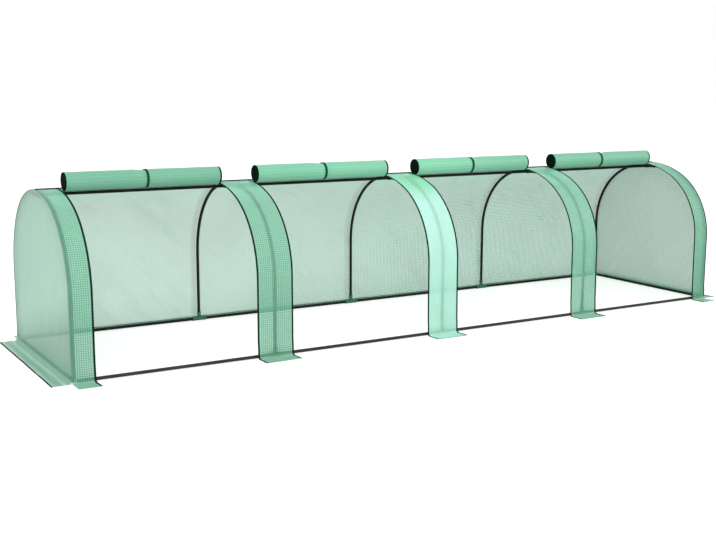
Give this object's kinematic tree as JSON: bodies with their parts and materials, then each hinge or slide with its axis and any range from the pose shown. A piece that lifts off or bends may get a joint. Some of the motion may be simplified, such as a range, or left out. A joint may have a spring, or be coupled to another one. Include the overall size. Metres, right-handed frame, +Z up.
{
  "type": "row cover tunnel",
  "caption": "Low garden tunnel: steel hoops joined by ridge and ground tubes, under a film cover with roll-up windows along one side.",
  "frame": {"origin": "middle of the tunnel's footprint, on the ground", "axes": "+X along the ridge, -Y towards the side with windows, +Z up"},
  "size_m": [4.1926, 1.1786, 0.9071],
  "materials": {
    "tube": "dark green powder coat",
    "ridge_joint": "black moulded plastic",
    "base_joint": "green moulded plastic",
    "front_film": "translucent green film with a woven grid",
    "pale_film": "translucent pale green film with a woven grid",
    "zip_tape": "near-black woven tape",
    "tie_strap": "dark green woven strap"
  },
  "bodies": {
    "tunnel": {"back_joint_1": "base_joint", "back_joint_2": "base_joint", "back_joint_3": "base_joint", "back_joint_4": "base_joint", "back_joint_5": "base_joint", "back_rail_1": "tube", "back_rail_2": "tube", "back_rail_3": "tube", "back_rail_4": "tube", "cover_back": "pale_film", "cover_front_1": "front_film", "cover_front_2": "front_film", "cover_front_3": "front_film", "cover_front_4": "front_film", "cover_front_5": "front_film", "end_panel_left": "pale_film", "end_panel_right": "pale_film", "end_rail_left": "tube", "end_rail_right": "tube", "front_joint_1": "base_joint", "front_joint_2": "base_joint", "front_joint_3": "base_joint", "front_joint_4": "base_joint", "front_joint_5": "base_joint", "front_rail_1": "tube", "front_rail_2": "tube", "front_rail_3": "tube", "front_rail_4": "tube", "hoop_1_back": "tube", "hoop_1_front": "tube", "hoop_2_back": "tube", "hoop_2_front": "tube", "hoop_3_back": "tube", "hoop_3_front": "tube", "hoop_4_back": "tube", "hoop_4_front": "tube", "hoop_5_back": "tube", "hoop_5_front": "tube", "ridge_joint_1": "ridge_joint", "ridge_joint_2": "ridge_joint", "ridge_joint_3": "ridge_joint", "ridge_joint_4": "ridge_joint", "ridge_joint_5": "ridge_joint", "ridge_tube_1": "tube", "ridge_tube_2": "tube", "ridge_tube_3": "tube", "ridge_tube_4": "tube", "zip_tape_1": "zip_tape", "zip_tape_2": "zip_tape", "zip_tape_3": "zip_tape", "zip_tape_4": "zip_tape"},
    "window_1": {"rolled_window_1": "front_film", "window_tie_1": "tie_strap"},
    "window_2": {"rolled_window_2": "front_film", "window_tie_2": "tie_strap"},
    "window_3": {"rolled_window_3": "front_film", "window_tie_3": "tie_strap"},
    "window_4": {"rolled_window_4": "front_film", "window_tie_4": "tie_strap"}
  },
  "joints": [
    {"name": "window_1_roll", "type": "hinge", "parent": "tunnel", "child": "window_1", "pos_m": [-1.4925, -0.0271, 0.2927], "axis": [1, 0, 0], "range_deg": [0, 112.5]},
    {"name": "window_2_roll", "type": "hinge", "parent": "tunnel", "child": "window_2", "pos_m": [-0.4975, -0.0271, 0.2927], "axis": [1, 0, 0], "range_deg": [0, 112.5]},
    {"name": "window_3_roll", "type": "hinge", "parent": "tunnel", "child": "window_3", "pos_m": [0.4975, -0.0271, 0.2927], "axis": [1, 0, 0], "range_deg": [0, 112.5]},
    {"name": "window_4_roll", "type": "hinge", "parent": "tunnel", "child": "window_4", "pos_m": [1.4925, -0.0271, 0.2927], "axis": [1, 0, 0], "range_deg": [0, 112.5]}
  ]
}
